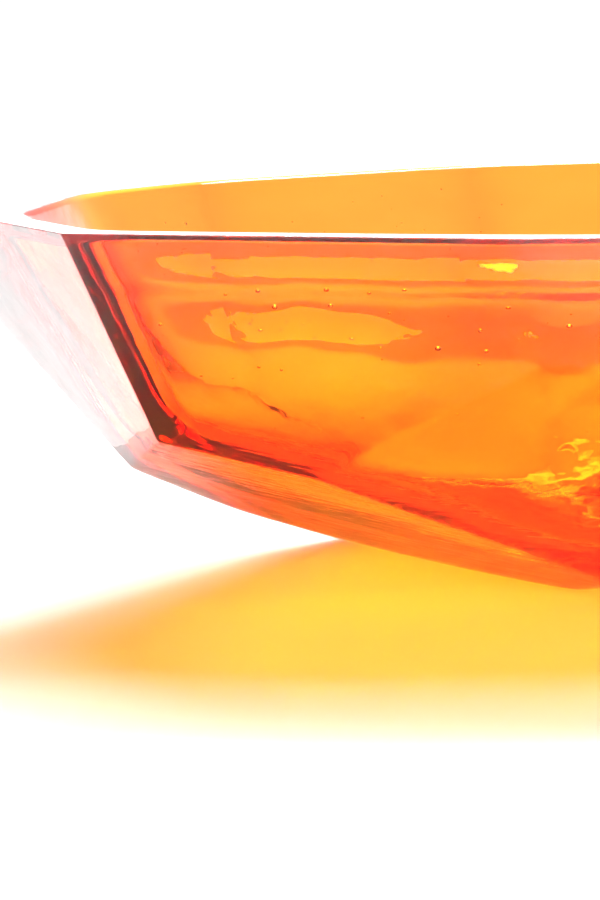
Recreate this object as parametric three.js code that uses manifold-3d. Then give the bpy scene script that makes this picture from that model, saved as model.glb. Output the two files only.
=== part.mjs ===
// Art glass bowl: one thick casting of clear amber glass.
// Outside, large flat facets are ground on it. Inside, the hollow is smooth and rounded.
// Millimetres, +Z up. The origin is the middle of the bowl on the surface that it stands on.
import * as THREE from 'three';
import Module from 'manifold-3d';
import { mergeVertices } from 'three/addons/utils/BufferGeometryUtils.js';

const wasm = await Module();
wasm.setup();

// ---- Driving dimensions ----
const length = 354; // longest way across the rim, along X
const width = 287; // across the rim, along Y
const height = 114; // foot to rim
const wall = 8.5; // glass behind a wall facet, square to it
const leftWall = 10.5; // the same behind the left facet, where the glass is thicker
const heel = 8.5; // glass behind an underside facet
const floor = 11; // glass under the middle of the hollow
const endLip = 36; // width of the flat rim at the pointed left end
const endFacing = 170; // the way that the hollow's left end faces, in degrees
const endLean = 25; // and its lean from upright, in degrees
const hollowRounding = 5; // softness of the hollow's corners
const hollowSteps = 72; // faces round the hollow

// Corners of the rim, anticlockwise from the left point, as shares of half the length and half the width.
// Each wall facet runs from its own corner to the next one and leans outward by its angle, in degrees.
const walls = [
  { name: 'left', corner: [-1, -0.377], lean: 29.5, glass: leftWall },
  { name: 'front_left', corner: [-0.727, -0.909], lean: 26, glass: wall },
  { name: 'front_right', corner: [-0.072, -1], lean: 23.5, glass: wall },
  { name: 'right_front', corner: [0.415, -0.961], lean: 29, glass: wall },
  { name: 'right', corner: [0.782, -0.689], lean: 24, glass: wall },
  { name: 'right_end', corner: [1, -0.153], lean: 30, glass: wall },
  { name: 'right_back', corner: [0.966, 0.432], lean: 25, glass: wall },
  { name: 'back_right', corner: [0.763, 0.85], lean: 28, glass: wall },
  { name: 'back', corner: [0.412, 1], lean: 25, glass: wall },
  { name: 'back_left', corner: [-0.051, 0.8], lean: 25, glass: wall },
  { name: 'left_back', corner: [-0.575, 0.32], lean: 24, glass: wall },
];

// Underside facets: the way that each one faces and its lean from upright, in degrees, and how far
// inside the oval of the rim's length and width its plane meets the surface that the bowl stands on.
const undersides = [
  { name: 'front_low', facing: -87.5, lean: 36.5, inset: 75.07 },
  { name: 'front_under', facing: -114, lean: 59.5, inset: 103.56 },
  { name: 'front_keel', facing: -70, lean: 72, inset: 89.31 },
  { name: 'keel_left', facing: -135, lean: 73, inset: 131.12 },
  { name: 'keel_far_left', facing: -145, lean: 71, inset: 135.22 },
  { name: 'left_under', facing: -160, lean: 65.5, inset: 128.42 },
  { name: 'left_low', facing: 165, lean: 47.5, inset: 127.46 },
  { name: 'back_left_low', facing: 133, lean: 50, inset: 109.96 },
  { name: 'back_low', facing: 100, lean: 48, inset: 83.62 },
  { name: 'back_right_low', facing: 62, lean: 52, inset: 89.52 },
  { name: 'right_back_low', facing: 20, lean: 50, inset: 97.42 },
  { name: 'right_low', facing: -20, lean: 46, inset: 93.42 },
  { name: 'right_front_low', facing: -52, lean: 50, inset: 87.04 },
];

// ---- Facet planes ----
// A facet is kept as its outward direction and its distance from the middle of the foot.
const radians = THREE.MathUtils.degToRad;
const mouth = new THREE.Vector3(0, 0, height);

function facet(facing, lean, point, glass) {
  const out = new THREE.Vector3(Math.cos(facing), Math.sin(facing), -Math.tan(lean)).normalize();
  return { out, distance: out.dot(point), glass };
}

const corners = walls.map(({ corner }) =>
  new THREE.Vector3((corner[0] * length) / 2, (corner[1] * width) / 2, height));

const wallFacets = walls.map(({ lean, glass }, i) => {
  const along = corners[(i + 1) % corners.length].clone().sub(corners[i]);
  return facet(Math.atan2(-along.x, along.y), radians(lean), corners[i], glass);
});

const underFacets = undersides.map(({ facing, lean, inset }) => {
  const angle = radians(facing);
  const oval = Math.hypot((length / 2) * Math.cos(angle), (width / 2) * Math.sin(angle));
  const point = new THREE.Vector3(Math.cos(angle), Math.sin(angle), 0).multiplyScalar(oval - inset);
  return facet(angle, radians(lean), point, heel);
});

// ---- Closed meshes in and out of the cutting library ----
function solid(geometry) {
  const bare = geometry.clone();
  bare.deleteAttribute('normal');
  bare.deleteAttribute('uv');
  const merged = mergeVertices(bare, 1e-4);
  return new wasm.Manifold(new wasm.Mesh({
    numProp: 3,
    vertProperties: new Float32Array(merged.attributes.position.array),
    triVerts: new Uint32Array(merged.index.array),
  }));
}

function geometryOf(manifold) {
  const { vertProperties, triVerts } = manifold.getMesh();
  const geometry = new THREE.BufferGeometry();
  geometry.setAttribute('position', new THREE.BufferAttribute(vertProperties, 3));
  geometry.setIndex(new THREE.BufferAttribute(triVerts, 1));
  geometry.computeVertexNormals();
  return geometry;
}

// ---- Outside: a block with every facet ground flat ----
function grinding({ out, distance }) {
  const size = 2 * (length + width + height);
  const block = new THREE.BoxGeometry(size, size, size);
  block.translate(0, 0, size / 2);
  block.applyQuaternion(new THREE.Quaternion().setFromUnitVectors(new THREE.Vector3(0, 0, 1), out));
  const face = out.clone().multiplyScalar(distance);
  block.translate(face.x, face.y, face.z);
  return solid(block);
}

function facetedBlock() {
  const block = new THREE.BoxGeometry(2 * length, 2 * width, height);
  block.translate(0, 0, height / 2);
  return [...wallFacets, ...underFacets].reduce((rest, each) => rest.subtract(grinding(each)), solid(block));
}

// ---- Inside: every facet moved in by its glass, met by a floor and an end lip, with soft corners ----
function hollow() {
  const inset = [...wallFacets, ...underFacets].map(({ out, distance, glass }) =>
    ({ out, reach: distance - glass - out.dot(mouth) }));
  const floorFace = { out: new THREE.Vector3(0, 0, -1), reach: height - floor };
  const end = facet(radians(endFacing), radians(endLean), corners[0], endLip * Math.cos(radians(endLean)));
  const endFace = { out: end.out, reach: end.distance - end.glass - end.out.dot(mouth) };
  const faces = [...inset, floorFace, endFace];

  const ball = new THREE.SphereGeometry(1, hollowSteps, hollowSteps / 2);
  ball.rotateX(Math.PI / 2);
  const position = ball.attributes.position;
  const way = new THREE.Vector3();
  for (let i = 0; i < position.count; i += 1) {
    way.fromBufferAttribute(position, i);
    const down = way.clone().setZ(-Math.abs(way.z));
    const sum = faces.reduce((total, { out, reach }) => {
      const facing = out.dot(down);
      return facing > 0 ? total + Math.exp(-reach / facing / hollowRounding) : total;
    }, 0);
    way.multiplyScalar(-hollowRounding * Math.log(sum)).add(mouth);
    position.setXYZ(i, way.x, way.y, way.z);
  }
  return solid(ball);
}

// ---- The bowl ----
function bowl() {
  const glass = facetedBlock().subtract(hollow());
  const amber = new THREE.MeshStandardMaterial({ color: 0xf08a1c, roughness: 0.04, metalness: 0 });
  const mesh = new THREE.Mesh(geometryOf(glass), amber);
  mesh.name = 'bowl';
  return mesh;
}

const artGlassBowl = new THREE.Group();
artGlassBowl.add(bowl());

export default artGlassBowl;
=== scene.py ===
import itertools

import bpy
import numpy as np
from mathutils import Euler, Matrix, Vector


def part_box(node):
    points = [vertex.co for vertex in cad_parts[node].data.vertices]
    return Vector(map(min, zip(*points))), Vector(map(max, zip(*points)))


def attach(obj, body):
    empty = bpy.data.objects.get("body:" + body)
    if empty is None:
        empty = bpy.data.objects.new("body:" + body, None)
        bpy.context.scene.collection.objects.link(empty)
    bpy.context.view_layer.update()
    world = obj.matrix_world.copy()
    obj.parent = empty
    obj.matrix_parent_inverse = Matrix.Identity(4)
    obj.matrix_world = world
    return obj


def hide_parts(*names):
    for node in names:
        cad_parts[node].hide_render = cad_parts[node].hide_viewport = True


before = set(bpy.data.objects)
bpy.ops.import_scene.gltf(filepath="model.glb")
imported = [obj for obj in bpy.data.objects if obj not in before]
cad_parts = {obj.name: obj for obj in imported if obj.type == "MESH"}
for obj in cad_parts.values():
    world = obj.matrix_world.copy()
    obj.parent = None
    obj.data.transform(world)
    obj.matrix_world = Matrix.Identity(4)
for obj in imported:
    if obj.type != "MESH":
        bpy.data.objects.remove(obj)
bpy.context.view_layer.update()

# ---- Camera ----------------------------------------------------------------------------------
# A close view of the bowl's pointed left end, from a little above the rim, through a long lens.
camera_stand = Vector((-0.0665, -0.779, 0.1805))
camera_tilt_down = np.radians(10.8)
lens = bpy.data.cameras.new("studio_camera")
lens.sensor_fit = "VERTICAL"
lens.sensor_height = 36
lens.lens = 100
camera = bpy.data.objects.new("studio_camera", lens)
camera.location = camera_stand
camera.rotation_euler = Euler((np.pi / 2 - camera_tilt_down, 0, 0))
bpy.context.collection.objects.link(camera)
bpy.context.scene.camera = camera

# ---- Bowl ------------------------------------------------------------------------------------
# The bowl is one heavy casting of clear amber glass. Its outside is ground to large flat facets
# and fire-polished, so the arrises are soft. The hollow is smooth, slightly wavy, with soft corners.
bowl_low, bowl_high = (np.array(corner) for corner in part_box("bowl"))
rim_height = bowl_high[2]
wall_glass = 0.0085
left_wall_glass = 0.0105
heel_glass = 0.0085
floor_glass = 0.011
end_lip = 0.036
end_facing, end_lean = np.radians(170), np.radians(25)
hollow_softness = 0.003
arris_softness = 0.0002
underside_softness = 0.0006
mouth_round = 0.0012
facing_down = -0.2  # a ground facet's direction is lower than this
smallest_facet = 2e-5  # square metres
same_plane = 4e-5  # a corner lies on a plane when it is this near
grazing = 1e-3  # a way that faces a plane by less than this never meets it


def outward(facing, lean):
    """Direction of a leaning facet: level way it faces, tipped down by its lean from upright."""
    return np.array([np.cos(facing) * np.cos(lean), np.sin(facing) * np.cos(lean), -np.sin(lean)])


def ground_facets(node):
    """Planes of the CAD bowl's outside: the largest free triangle that faces down takes all the
    triangles in its own plane, until none are left. Gives one direction and one distance a plane."""
    mesh = node.data
    mesh.calc_loop_triangles()
    points = np.empty(len(mesh.vertices) * 3)
    mesh.vertices.foreach_get("co", points)
    order = np.empty(len(mesh.loop_triangles) * 3, dtype=int)
    mesh.loop_triangles.foreach_get("vertices", order)
    a, b, c = points.reshape(-1, 3)[order.reshape(-1, 3)].transpose(1, 0, 2)
    cross = np.cross(b - a, c - a)
    area = np.linalg.norm(cross, axis=1) / 2
    ways = cross / np.maximum(2 * area, 1e-12)[:, None]
    distances = np.sum(ways * a, axis=1)
    free = (ways[:, 2] < facing_down) & (area > 1e-9)
    planes = []
    while free.any():
        largest = np.argmax(np.where(free, area, 0))
        same = free & (ways @ ways[largest] > 0.99999) & (abs(distances - distances[largest]) < 2e-4)
        planes.append((*ways[largest], distances[largest], area[same].sum()))
        free &= ~same
    planes = np.array(planes)
    return planes[planes[:, 4] > smallest_facet, :4]


facets = ground_facets(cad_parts["bowl"])
facet_ways, facet_reach = facets[:, :3], facets[:, 3]


def facet_facing(facing, lean):
    """Number of the facet whose direction is nearest to a level way and a lean, in degrees."""
    return int(np.argmax(facet_ways @ outward(np.radians(facing), np.radians(lean))))


left_facet = facet_facing(-149, 29.5)
front_low_facet = facet_facing(-87.5, 36.5)
foot_facet = int(np.argmin(facet_ways[:, 2]))
steepest_wall_lean = np.radians(33)
is_wall = facet_ways[:, 2] > -np.sin(steepest_wall_lean)

# The outside's planes are the facets and the flat rim. Ways run out from a point inside them all.
outside_ways = np.vstack([facet_ways, [0, 0, 1]])
outside_reach = np.append(facet_reach, rim_height)
rim_plane = len(facets)
core = np.array([0.01, 0.0, 0.06])
never_met = 2.0  # stands for the distance to a plane that a way does not meet
softness_blend = 0.003  # how far from an arris one facet's softness gives way to the next


def polyhedron_corners(ways, reach):
    """Corners of the sharp solid: where three planes meet, if no other plane cuts the point off."""
    trios = np.array(list(itertools.combinations(range(len(ways)), 3)))
    systems = ways[trios]
    solvable = abs(np.linalg.det(systems)) > 1e-6
    trios, systems = trios[solvable], systems[solvable]
    points = np.linalg.solve(systems, reach[trios][:, :, None])[:, :, 0]
    kept = np.all(points @ ways.T <= reach + 2e-5, axis=1)
    return points[kept]


corners = polyhedron_corners(outside_ways, outside_reach)
corner_planes = abs(corners @ outside_ways.T - outside_reach) < same_plane


def facet_outline(plane):
    """Numbers of a facet's corners in order round it, seen from outside."""
    way = outside_ways[plane]
    number = np.flatnonzero(corner_planes[:, plane])
    offset = corners[number] - corners[number].mean(axis=0)
    across = np.cross(way, [0.31, 0.95, 0.02])
    turn = np.arctan2(offset @ np.cross(way, across), offset @ across)
    return number[np.argsort(turn)]


# Hand finishing leaves each facet a little full in its middle, the low front one most of all.
outlines = [facet_outline(plane) for plane in range(len(outside_ways))]
facet_middles = np.array([corners[outline].mean(axis=0) for outline in outlines])
facet_fullness = np.full(len(outside_ways), 0.00025)
facet_fullness[front_low_facet] = 0.00125
facet_fullness[[foot_facet, rim_plane]] = 0
underside_lean = np.radians(40)
is_underside = outside_ways[:, 2] < -np.sin(underside_lean)
facet_softness = np.where(is_underside, underside_softness, arris_softness)
facet_spread = np.array([
    0.95 * np.linalg.norm(corners[outline] - middle, axis=1).max()
    for outline, middle in zip(outlines, facet_middles)
])


def outside_points(points):
    """Moves points along their ways from the core to the outside: the soft minimum, over all
    planes, of the distance to each raised plane."""
    ways = points - core
    ways /= np.linalg.norm(ways, axis=1)[:, None]
    facing = ways @ outside_ways.T
    toward = np.maximum(facing, grazing)
    hard = np.minimum((outside_reach - outside_ways @ core) / toward, never_met)
    raised = fullness_of(core + hard[:, :, None] * ways[:, None, :])
    reach = np.where(facing > grazing, hard + raised / toward, never_met)
    nearest = reach.min(axis=1)
    excess = reach - nearest[:, None]
    share = np.exp(-excess / softness_blend)
    softness = (share @ facet_softness) / share.sum(axis=1)
    spill = np.exp(-excess / softness[:, None]).sum(axis=1)
    return core + ways * (nearest - softness * np.log(spill))[:, None]


def edge_shares(length):
    """Places along an edge as shares of it: about every 2.6 mm, and closer near both corners."""
    near = np.array([0, 0.0003, 0.0008, 0.0016])
    near = near[near < 0.3 * length]
    inner = np.linspace(near[-1], length - near[-1], max(2, int(length / 0.0026)))
    return np.unique(np.concatenate([near, inner, length - near]).round(7)) / round(length, 7)


def fullness_of(planes_met):
    """How far each plane is raised at a point on it: its fullness times (1 - q^2)^2, where q is
    the distance from the facet's middle as a share of its spread."""
    share = np.linalg.norm(planes_met - facet_middles, axis=-1) / facet_spread
    return facet_fullness * np.clip(1 - share**2, 0, 1) ** 2


def settle(points, planes):
    """Moves points near an arris to where its two or three raised facets really meet."""
    pull = np.linalg.pinv(planes[..., :, None] * outside_ways)
    settled = points
    for _ in range(5):
        want = outside_reach + fullness_of(settled[:, None, :])
        miss = (want - settled @ outside_ways.T) * planes
        settled = settled + (pull @ miss[:, :, None])[:, :, 0]
    return settled


real_corners = settle(corners, corner_planes)


def outline_points(outline):
    """Points round a facet's border, edge by edge, always dividing an edge from the same end."""
    ring = []
    for start, end in zip(outline, np.roll(outline, -1)):
        low, high = real_corners[min(start, end)], real_corners[max(start, end)]
        points = low + (high - low) * edge_shares(np.linalg.norm(high - low))[:, None]
        both = corner_planes[start] & corner_planes[end]
        points[1:-1] = settle(points[1:-1], both)
        ring.append((points[::-1] if start > end else points)[:-1])
    return np.vstack(ring)


border_rows = np.array([0, 0.0001, 0.00025, 0.00045, 0.0008, 0.0013, 0.002, 0.0032, 0.005, 0.008])
inner_rows = np.array([0.12, 0.25, 0.4, 0.57, 0.78])


def facet_fan(plane):
    """A facet's skin: its outline drawn in towards its middle in rows that lie close at the border,
    then put on the outside. Gives the grid of points (rows, places) and the middle point."""
    ring = outline_points(outlines[plane])
    middle = facet_middles[plane]
    along = np.roll(ring, -1, axis=0) - ring
    along /= np.linalg.norm(along, axis=1)[:, None]
    clear = np.linalg.norm(np.cross(middle - ring, along), axis=1)
    steps = np.linalg.norm(np.roll(ring, -1, axis=0) - ring, axis=1)
    place, whole = np.cumsum(steps) - steps, steps.sum()
    apart = abs(place[:, None] - place)
    apart = np.minimum(apart, whole - apart)
    near_by = np.exp(-(apart / 0.006) ** 2) * steps
    clear = np.exp((near_by @ np.log(clear)) / near_by.sum(axis=1))
    near = border_rows[:, None] * np.minimum(1, 0.4 * clear / border_rows[-1]) / clear
    far = near[-1] + (1 - near[-1]) * inner_rows[:, None]
    shares = np.vstack([near, far])
    grid = ring + shares[:, :, None] * (middle - ring)
    placed = outside_points(np.vstack([grid.reshape(-1, 3), middle]))
    return placed[:-1].reshape(grid.shape), placed[-1]


# The hollow's planes: each facet moved in by the glass behind it, a floor and a flat end lip.
facet_glass = np.where(is_wall, wall_glass, heel_glass)
facet_glass[left_facet] = left_wall_glass
mouth = np.array([0, 0, rim_height])
left_point = corners[np.argmin(corners[:, 0])]
end_way = outward(end_facing, end_lean)
hollow_ways = np.vstack([np.delete(facet_ways, foot_facet, axis=0), [0, 0, -1], end_way])
hollow_reach = np.concatenate([
    np.delete(facet_reach - facet_glass - facet_ways @ mouth, foot_facet),
    [rim_height - floor_glass, end_way @ (left_point - mouth) - end_lip * np.cos(end_lean)],
])


def ramp(depth, start, end, soft=0.0006):
    """Rises evenly from 0 at start to 1 at end, with soft corners: the difference of two softplus."""
    rise = np.logaddexp(0, (depth - start) / soft) - np.logaddexp(0, (depth - end) / soft)
    return rise * soft / (end - start)


def from_left(x, start, width):
    """Goes softly from 0 to 1 as x passes start: the logistic curve of their distance by width."""
    return 1 / (1 + np.exp(-(x - start) / width))


ledge_push, hollow_push = 0.0022, 0.0042
ledge_top, ledge_bottom, ledge_return = 0.0042, 0.0121, 0.005
sink_top, sink_slope = 0.0175, 0.09
sink_rise, sink_hold, sink_return, sink_return_soft = 0.0115, 0.014, 0.036, 0.003
front_edge, front_fade = 0.045, 0.008


def hand_relief(points):
    """How far the hollow's front is pressed outward at each point, which thins the wall: one long
    ledge just under the rim, and two uneven hollows below it, each rising again further down."""
    x, depth = points[..., 0], rim_height - points[..., 2]
    front = 1 / (1 + np.exp((points[..., 1] + front_edge) / front_fade))
    wobble = 0.0012 * np.sin(x / 0.0071 + 0.5) + 0.0007 * np.sin(x / 0.0031 + 1)
    ledge_end = ledge_bottom + 0.3 * wobble
    ledge = ramp(depth, ledge_top, ledge_end) - ramp(depth, ledge_end + 0.0006, ledge_end + ledge_return)
    sink = sink_top + sink_slope * np.clip(x + 0.083, 0, 0.06) + wobble
    pressed = ramp(depth, sink, sink + sink_rise)
    pressed -= ramp(depth, sink + sink_hold, sink + sink_return, sink_return_soft)
    left_hollow = from_left(x, -0.092, 0.006) * (1 - from_left(x, -0.031, 0.006))
    right_hollow = from_left(x, -0.012, 0.006)
    long_ledge = ledge_push * ledge * from_left(x, -0.108, 0.004)
    return front * (long_ledge + hollow_push * pressed * (left_hollow + right_hollow))


wave_height = 0.00035


def hollow_points(turns, dips):
    """Points on the hollow at every dip below the rim and turn round it: from the middle of the
    mouth, the soft minimum of the distances to its planes, with slow waves pressed into it."""
    turn, dip = turns[None, :], dips[:, None]
    ways = np.stack(np.broadcast_arrays(
        np.cos(turn) * np.cos(dip), np.sin(turn) * np.cos(dip), -np.sin(dip)), axis=-1)
    level = ways[..., :2] / np.maximum(np.linalg.norm(ways[..., :2], axis=-1, keepdims=True), 1e-9)
    facing = ways @ hollow_ways.T
    spill = np.exp(-hollow_reach / np.maximum(facing, grazing) / hollow_softness)
    terms = np.where(facing > grazing, spill, 0)
    reach = -hollow_softness * np.log(terms.sum(axis=-1))
    waves = (np.sin(5 * turn + 9 * dip + 1.3) * np.sin(7 * dip + 2 * np.sin(2 * turn))
             + 0.6 * np.sin(11 * turn - 6 * dip + 0.4) * np.sin(12 * dip + 1.1))
    depth = np.clip(np.sin(dip) * 6, 0, 1) * (0.6 - 0.4 * np.sin(turn))
    reach = reach + wave_height * waves * depth * np.cos(dip)
    points = mouth + ways * reach[..., None]
    points[..., :2] += level * hand_relief(points)[..., None]
    below = np.clip(rim_height - points[..., 2:], 0, mouth_round)
    flare = mouth_round - np.sqrt(mouth_round**2 - (mouth_round - below) ** 2)
    points[..., :2] += level * flare
    return points


def grid_faces(rows, places, start, closed=True):
    """Four-sided faces of a grid of rows and places, wound so that rows run inward."""
    last = places if closed else places - 1
    row, place = np.meshgrid(np.arange(rows - 1), np.arange(last), indexing="ij")
    here, after = row * places + place, row * places + (place + 1) % places
    return start + np.stack([here, after, after + places, here + places], axis=-1).reshape(-1, 4)


def fan_faces(places, ring_start, middle):
    """Three-sided faces from the last row of a grid to one middle point."""
    place = np.arange(places)
    return np.stack([ring_start + place, ring_start + (place + 1) % places,
                     np.full(places, middle)], axis=-1)


def bowl_surface():
    """The whole casting: a fan for each facet, a flat rim ruled from its outer arris to the mouth,
    and the hollow from the mouth down to its middle. Gives points, quads and triangles."""
    points, quads, triangles = [], [], []
    count = 0
    for plane in range(len(facets)):
        grid, middle = facet_fan(plane)
        rows, places = grid.shape[:2]
        points += [grid.reshape(-1, 3), middle[None]]
        quads.append(grid_faces(rows, places, count))
        triangles.append(fan_faces(places, count + (rows - 1) * places, count + rows * places))
        count += rows * places + 1
    ring = outline_points(outlines[rim_plane])
    turns = np.unwrap(np.arctan2(ring[:, 1], ring[:, 0]))
    places = len(ring)
    mouth_dips = [0, 0.0008, 0.002, 0.0038, 0.006, 0.0085, 0.012, 0.018]
    relief_dips = np.arange(0.024, 0.36, 0.0075)
    deep_dips = np.linspace(0.37, np.pi / 2, 42)[:-1]
    dips = np.concatenate([mouth_dips, relief_dips, deep_dips])
    inside = hollow_points(turns, dips)
    rim_shares = np.array([0, 0.012, 0.03, 0.06, 0.11, 0.2, 0.4, 0.65, 0.86, 1])
    rim = ring + rim_shares[:, None, None] * (inside[0] - ring)
    rim[:-1] = outside_points(rim[:-1].reshape(-1, 3)).reshape(rim[:-1].shape)
    skin = np.concatenate([rim, inside[1:]])
    bottom = hollow_points(turns[:1], np.array([np.pi / 2 - 1e-6]))[0]
    points += [skin.reshape(-1, 3), bottom]
    quads.append(grid_faces(len(skin), places, count))
    triangles.append(fan_faces(places, count + (len(skin) - 1) * places, count + len(skin) * places))
    return np.vstack(points), np.vstack(quads), np.vstack(triangles)


def merged(points, faces):
    """Gives points that lie together one number, and drops faces that have shrunk to a line."""
    _, first, number = np.unique((points / 4e-6).round().astype(int), axis=0,
                                 return_index=True, return_inverse=True)
    number = number.ravel()
    kept = [number[face] for face in faces]
    whole = [[int(v) for v, w in zip(face, np.roll(face, -1)) if v != w] for face in kept]
    return points[first], [face for face in whole if len(set(face)) > 2]


def seed_places(rng):
    """Where the seed bubbles lie: some hang in a line under the ledge at the front, and the rest are
    scattered through the walls. Gives turns round the mouth, depths below the rim and radii."""
    front_x = np.array([-0.083, -0.0797, -0.0625, -0.0627, -0.0864, -0.0325, -0.02, -0.0183, -0.0404,
                        -0.0503, -0.072, -0.058, -0.046, -0.012, 0.004, -0.09])
    front_depth = np.array([0.0119, 0.0152, 0.0119, 0.0155, 0.0225, 0.0291, 0.0241, 0.0304, 0.0124,
                            0.0126, 0.0205, 0.0265, 0.0185, 0.016, 0.022, 0.0335])
    front_size = np.array([0.0006, 0.0008, 0.0006, 0.0006, 0.0005, 0.0008, 0.0006, 0.0006, 0.00045,
                           0.00045, 0.0004, 0.0005, 0.0004, 0.0005, 0.0006, 0.0004])
    front_y, scattered = -0.131, 120
    turns = np.concatenate([np.arctan2(front_y, front_x), rng.uniform(-np.pi, np.pi, scattered)])
    depths = np.concatenate([front_depth, rng.gamma(2.6, 0.011, scattered) + 0.004])
    sizes = np.concatenate([front_size, 0.00016 + rng.gamma(1.6, 0.00011, scattered)])
    return turns, depths, sizes


def seed_bubbles():
    """Gas seeds in the glass: small ellipsoids, a little longer level than upright, halfway or so
    between the hollow and the facet behind it. Their faces point into the gas."""
    rng = np.random.default_rng(7)
    turns, depths, sizes = seed_places(rng)
    dips = np.arctan2(depths, 0.125)
    inner = np.array([hollow_points(np.array([turn]), np.array([dip]))[0, 0]
                      for turn, dip in zip(turns, dips)])
    gap = outside_reach[:rim_plane] - inner @ facet_ways.T
    nearest = np.argmin(gap, axis=1)
    glass = gap[np.arange(len(inner)), nearest]
    middles = inner + facet_ways[nearest] * (glass * rng.uniform(0.3, 0.7, len(inner)))[:, None]
    kept = (middles[:, 2] > 0.004) & (middles[:, 2] < rim_height - 0.003) & (glass > 0.003)
    middles, sizes = middles[kept], sizes[kept]
    rows, places = 7, 10
    fall, round_ = np.meshgrid(np.linspace(0, np.pi, rows + 2)[1:-1],
                               np.linspace(0, 2 * np.pi, places + 1)[:-1], indexing="ij")
    ball = np.stack([np.cos(round_) * np.sin(fall), np.sin(round_) * np.sin(fall), np.cos(fall)], -1)
    ball = np.vstack([ball.reshape(-1, 3), [0, 0, 1], [0, 0, -1]])
    stretch = np.stack([rng.uniform(0.95, 1.5, len(sizes)), rng.uniform(0.9, 1.1, len(sizes)),
                        rng.uniform(0.8, 1.0, len(sizes))], -1)
    points = middles[:, None] + ball * (sizes[:, None] * stretch)[:, None]
    side = grid_faces(rows, places, 0)
    top, bottom = rows * places, rows * places + 1
    cap = fan_faces(places, 0, top)[:, ::-1]
    base = fan_faces(places, (rows - 1) * places, bottom)
    shift = (np.arange(len(sizes)) * len(ball))[:, None, None]
    ends = np.vstack([cap, base])
    return points.reshape(-1, 3), (side + shift).reshape(-1, 4), (ends + shift).reshape(-1, 3)


points, quads, triangles = bowl_surface()
points, faces = merged(points, [*quads, *triangles])
seed_points, seed_quads, seed_triangles = seed_bubbles()
faces += (seed_quads + len(points)).tolist() + (seed_triangles + len(points)).tolist()
points = np.vstack([points, seed_points])
mesh = bpy.data.meshes.new("cast_bowl")
mesh.from_pydata(points.tolist(), [], faces)
mesh.validate()
mesh.polygons.foreach_set("use_smooth", [True] * len(mesh.polygons))
cast_bowl = bpy.data.objects.new("cast_bowl", mesh)
bpy.context.collection.objects.link(cast_bowl)


def amber_glass():
    """Clear amber glass: it takes up blue strongly, green by half in a wall's thickness, red hardly.
    Its skin is fire-polished, with faint waves, and the undersides keep fine chill streaks."""
    material = bpy.data.materials.new("amber_glass")
    material.use_nodes = True
    nodes, links = material.node_tree.nodes, material.node_tree.links
    shader = nodes["Principled BSDF"]
    wave_depth, streak_depth, dullest = 0.00022, 0.00012, 0.035
    shader.inputs["Transmission Weight"].default_value = 1
    shader.inputs["IOR"].default_value = 1.5
    tint = nodes.new("ShaderNodeVolumeAbsorption")
    tint.inputs["Color"].default_value = (0.987, 0.78, 0.03, 1)
    tint.inputs["Density"].default_value = 500
    links.new(tint.outputs["Volume"], nodes["Material Output"].inputs["Volume"])

    place = nodes.new("ShaderNodeTexCoord")

    def noise(scale, detail, stretch=(1, 1, 1)):
        run = nodes.new("ShaderNodeMapping")
        run.inputs["Scale"].default_value = stretch
        links.new(place.outputs["Object"], run.inputs["Vector"])
        cloud = nodes.new("ShaderNodeTexNoise")
        cloud.inputs["Scale"].default_value = scale
        cloud.inputs["Detail"].default_value = detail
        links.new(run.outputs["Vector"], cloud.inputs["Vector"])
        return cloud.outputs["Fac"]

    def spread(value, low, high):
        between = nodes.new("ShaderNodeMapRange")
        between.inputs["From Min"].default_value = 0.3
        between.inputs["From Max"].default_value = 0.7
        between.inputs["To Min"].default_value = low
        between.inputs["To Max"].default_value = high
        links.new(value, between.inputs["Value"])
        return between.outputs["Result"]

    geometry = nodes.new("ShaderNodeNewGeometry")
    facing = nodes.new("ShaderNodeSeparateXYZ")
    links.new(geometry.outputs["Normal"], facing.inputs["Vector"])
    under = nodes.new("ShaderNodeMapRange")
    under.inputs["From Min"].default_value = -0.62
    under.inputs["From Max"].default_value = -0.8
    links.new(facing.outputs["Z"], under.inputs["Value"])
    streaks = nodes.new("ShaderNodeMath")
    streaks.operation = "MULTIPLY"
    links.new(noise(420, 3, (0.12, 1.4, 0.4)), streaks.inputs[0])
    links.new(under.outputs["Result"], streaks.inputs[1])

    waves = nodes.new("ShaderNodeBump")
    waves.inputs["Distance"].default_value = wave_depth
    waves.inputs["Strength"].default_value = 1
    links.new(noise(75, 2.5), waves.inputs["Height"])
    chill = nodes.new("ShaderNodeBump")
    chill.inputs["Distance"].default_value = streak_depth
    chill.inputs["Strength"].default_value = 1
    links.new(streaks.outputs["Value"], chill.inputs["Height"])
    links.new(waves.outputs["Normal"], chill.inputs["Normal"])
    links.new(chill.outputs["Normal"], shader.inputs["Normal"])
    links.new(spread(noise(160, 3), 0.0, dullest), shader.inputs["Roughness"])

    cast = nodes.new("ShaderNodeMix")
    cast.data_type = "RGBA"
    cast.inputs["A"].default_value = (1, 0.93, 0.8, 1)
    cast.inputs["B"].default_value = (1, 1, 1, 1)
    links.new(spread(noise(30, 4, (1, 1, 2.5)), 0.0, 1.0), cast.inputs["Factor"])
    links.new(cast.outputs["Result"], shader.inputs["Base Color"])
    return material


cast_bowl.data.materials.append(amber_glass())
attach(cast_bowl, "root")
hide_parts("bowl")

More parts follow.
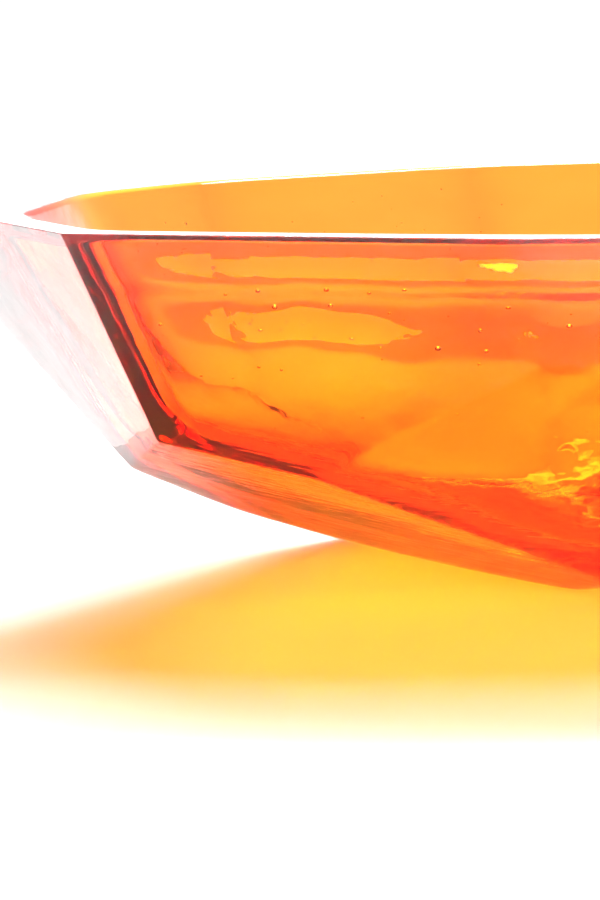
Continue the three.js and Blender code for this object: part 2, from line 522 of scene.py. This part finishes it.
# ---- Table and light ---------------------------------------------------------------------------
# A round white table in a white studio. Three window panes stand high behind the bowl, from its
# left to its right, and make the amber light on the table. A soft lamp over the back lights the
# table in front, and a panel on the table at the left is there to be mirrored in the left facet.
table_reach = 3.0
table_drop = 0.0003
table_sides = 96
table_turns = np.linspace(0, 2 * np.pi, table_sides + 1)[:-1]
table_points = np.stack([table_reach * np.cos(table_turns), table_reach * np.sin(table_turns),
                         np.full(table_sides, -table_drop)], axis=-1)
table_mesh = bpy.data.meshes.new("table")
table_mesh.from_pydata(table_points.tolist(), [], [list(range(table_sides))])
table = bpy.data.objects.new("table", table_mesh)
bpy.context.collection.objects.link(table)


def white_paint():
    """Matt white: a plain light grey base with hardly any sheen."""
    paint = bpy.data.materials.new("white_table")
    paint.use_nodes = True
    coat = paint.node_tree.nodes["Principled BSDF"]
    coat.inputs["Base Color"].default_value = (0.9, 0.9, 0.9, 1)
    coat.inputs["Roughness"].default_value = 0.8
    coat.inputs["Specular IOR Level"].default_value = 0.1
    return paint


table.data.materials.append(white_paint())


def facing_away(way):
    """Turn of a lamp that stands along a way and shines back down it."""
    return way.to_track_quat("Z", "Y").to_euler()


def panel(name, size, energy, place, turn):
    """A soft rectangular lamp that the camera does not see. Gives its light and its object."""
    light = bpy.data.lights.new(name, "AREA")
    light.shape = "RECTANGLE"
    light.size, light.size_y = size
    light.energy = energy
    stand = bpy.data.objects.new(name, light)
    stand.location = place
    stand.rotation_euler = turn
    stand.visible_camera = False
    bpy.context.collection.objects.link(stand)
    return light, stand


pane_energy = 1.75
pane_angle = np.radians(22)
window_panes = np.radians([(62, 66), (14, 57), (-24, 57)])
for number, (turn, height) in enumerate(window_panes):
    pane = bpy.data.lights.new(f"window_pane_{number + 1}", "SUN")
    pane.energy = pane_energy
    pane.angle = pane_angle
    window_pane = bpy.data.objects.new(f"window_pane_{number + 1}", pane)
    window_pane.rotation_euler = facing_away(Vector((np.sin(turn), np.cos(turn), np.tan(height))))
    bpy.context.collection.objects.link(window_pane)

lamp_place = Vector((0.2, 0.56, 1.05))
lamp_aim = Vector((-0.05, -0.25, 0))
lamp, _ = panel("front_lamp", (0.9, 0.3), 10, lamp_place, facing_away(lamp_place - lamp_aim))
lamp.spread = np.radians(75)

_, side_panel = panel("side_panel", (0.5, 0.8), 1.65, (-0.415, 0.24, 0.004), Euler((np.pi, 0, 0)))
side_panel.visible_transmission = False

# The far wall glows low down, as a lit sweep does, and the room above it and to the left is dim.
# The camera itself sees plain white, and matt surfaces take almost nothing from the room.
world = bpy.data.worlds.new("studio")
bpy.context.scene.world = world
world.use_nodes = True
sky, sky_links = world.node_tree.nodes, world.node_tree.links
way = sky.new("ShaderNodeTexCoord")
split = sky.new("ShaderNodeSeparateXYZ")
sky_links.new(way.outputs["Generated"], split.inputs["Vector"])
horizon_lift = 0.1
raised = sky.new("ShaderNodeMath")
raised.inputs[1].default_value = horizon_lift
sky_links.new(split.outputs["Z"], raised.inputs[0])
glow = sky.new("ShaderNodeValToRGB")
glow_stops = [(0.0, 0.32), (0.055, 0.32), (0.065, 1.1), (0.2, 1.05), (0.28, 0.3), (1.0, 0.24)]
glow.color_ramp.elements.remove(glow.color_ramp.elements[1])
for place, white in glow_stops:
    stop = glow.color_ramp.elements.new(place) if place else glow.color_ramp.elements[0]
    stop.color = (white, white, white, 1)
sky_links.new(raised.outputs["Value"], glow.inputs["Fac"])
lit = sky["Background"]
lit.inputs["Strength"].default_value = 3.0
ahead = sky.new("ShaderNodeMapRange")
glow_ends, glow_full = -0.3, -0.2
ahead.inputs["From Min"].default_value = glow_ends
ahead.inputs["From Max"].default_value = glow_full
sky_links.new(split.outputs["X"], ahead.inputs["Value"])
wall_light = sky.new("ShaderNodeMix")
wall_light.data_type = "RGBA"
wall_light.inputs["A"].default_value = (0.28, 0.28, 0.28, 1)
sky_links.new(ahead.outputs["Result"], wall_light.inputs["Factor"])
sky_links.new(glow.outputs["Color"], wall_light.inputs["B"])
sky_links.new(wall_light.outputs["Result"], lit.inputs["Color"])
plain = sky.new("ShaderNodeBackground")
plain.inputs["Strength"].default_value = 1.05
plain.inputs["Color"].default_value = (1, 1, 1, 1)
shade = sky.new("ShaderNodeBackground")
shade.inputs["Strength"].default_value = 0.02
shade.inputs["Color"].default_value = (1, 0.9, 0.75, 1)
path = sky.new("ShaderNodeLightPath")
choose_shade = sky.new("ShaderNodeMixShader")
choose_plain = sky.new("ShaderNodeMixShader")
sky_links.new(path.outputs["Is Diffuse Ray"], choose_shade.inputs["Fac"])
sky_links.new(lit.outputs["Background"], choose_shade.inputs[1])
sky_links.new(shade.outputs["Background"], choose_shade.inputs[2])
sky_links.new(path.outputs["Is Camera Ray"], choose_plain.inputs["Fac"])
sky_links.new(choose_shade.outputs["Shader"], choose_plain.inputs[1])
sky_links.new(plain.outputs["Background"], choose_plain.inputs[2])
sky_links.new(choose_plain.outputs["Shader"], sky["World Output"].inputs["Surface"])

# White light scattered in the lens lifts the darkest tones a little.
scene = bpy.context.scene
scene.view_settings.view_transform = "Standard"
scene.view_settings.use_curve_mapping = True
lens_veil = 0.014
scene.view_settings.curve_mapping.black_level = (-lens_veil, -lens_veil, -lens_veil)
glass_bounces = 48
scene.cycles.max_bounces = glass_bounces
scene.cycles.transmission_bounces = glass_bounces
scene.cycles.glossy_bounces = glass_bounces
